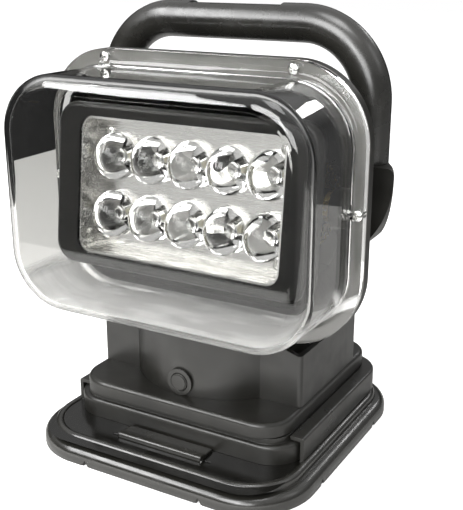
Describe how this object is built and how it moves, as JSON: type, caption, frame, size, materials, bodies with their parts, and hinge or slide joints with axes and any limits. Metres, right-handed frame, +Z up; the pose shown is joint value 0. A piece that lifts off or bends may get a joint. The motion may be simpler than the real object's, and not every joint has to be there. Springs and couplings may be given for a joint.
{
  "type": "marine searchlight",
  "caption": "Panning marine searchlight: an LED lamp that tilts inside a clear box cover, on a motor turret with a carry handle, locked to a slide-on mount plate.",
  "frame": {"origin": "centre of the mount plate's footprint, on the deck", "axes": "+Z up, the beam points to -Y, +X to the right seen from the front"},
  "size_m": [0.194, 0.166, 0.2407],
  "materials": {
    "moulding": "dark grey satin moulded plastic",
    "button": "soft dark plastic",
    "steel": "bright steel",
    "brass": "machined brass",
    "clear_plastic": "clear polycarbonate",
    "seal": "pale grey silicone",
    "reflector": "metallised silver",
    "cooling": "plain cast aluminium",
    "board": "green circuit board",
    "lamp_board": "white circuit board",
    "emitter": "pale phosphor"
  },
  "bodies": {
    "mount": {"mount_plate": "moulding", "latch_pin": "steel", "base_housing": "moulding", "base_cover": "moulding", "base_screws": "steel", "power_gland": "moulding", "pan_spindle": "steel", "pan_gear": "brass", "pan_nut": "steel"},
    "latch": {"release_latch": "moulding"},
    "turret": {"turret_plate": "moulding", "turret_screws": "steel", "pan_bush": "brass", "turret_housing": "moulding", "motor_plate": "steel", "pan_motor": "steel", "control_board": "board", "button_ring": "moulding", "button_switch": "moulding", "rear_housing": "moulding", "neck_screws": "steel", "left_bush": "brass", "right_bush": "brass", "clear_cover": "clear_plastic", "cover_gasket": "seal", "cover_screws": "steel", "handle": "moulding", "handle_screws": "steel", "tilt_motor": "steel"},
    "pan_drive": {"pan_pinion": "brass"},
    "button": {"push_button": "button"},
    "lamp": {"lamp_shell": "moulding", "bezel": "moulding", "reflector_tray": "reflector", "tray_screws": "steel", "lenses": "clear_plastic", "led_board": "lamp_board", "led_chips": "emitter", "heat_sink": "cooling", "tilt_gear": "brass", "left_pivot": "steel", "right_pivot": "steel"},
    "tilt_drive": {"tilt_pinion": "brass"}
  },
  "joints": [
    {"name": "latch_press", "type": "hinge", "parent": "mount", "child": "latch", "pos_m": [0, -0.0635, 0.0105], "axis": [-1, 0, 0], "range_deg": [0, 14], "stiffness_Nm_per_rad": 0.1},
    {"name": "pan", "type": "hinge", "parent": "mount", "child": "turret", "pos_m": [0, 0.0115, 0.03], "axis": [0, 0, 1], "range_deg": [-180, 180]},
    {"name": "pan_pinion_spin", "type": "hinge", "parent": "turret", "child": "pan_drive", "pos_m": [0.02825, 0.0115, 0.04], "axis": [0, 0, 1], "range_deg": [-661, 661]},
    {"name": "button_push", "type": "slide", "parent": "turret", "child": "button", "axis": [0, 1, 0], "range_m": [0, 0.0014], "stiffness_N_per_m": 400},
    {"name": "tilt", "type": "hinge", "parent": "turret", "child": "lamp", "pos_m": [0, -0.005, 0.142], "axis": [1, 0, 0], "range_deg": [-18, 26]},
    {"name": "tilt_pinion_spin", "type": "hinge", "parent": "turret", "child": "tilt_drive", "pos_m": [0.06, 0.02025, 0.142], "axis": [1, 0, 0], "range_deg": [-105, 73]}
  ],
  "couplings": [
    {"joint": "pan_pinion_spin", "follows": "pan", "ratio": 3.6667},
    {"joint": "tilt_pinion_spin", "follows": "tilt", "ratio": -4}
  ]
}
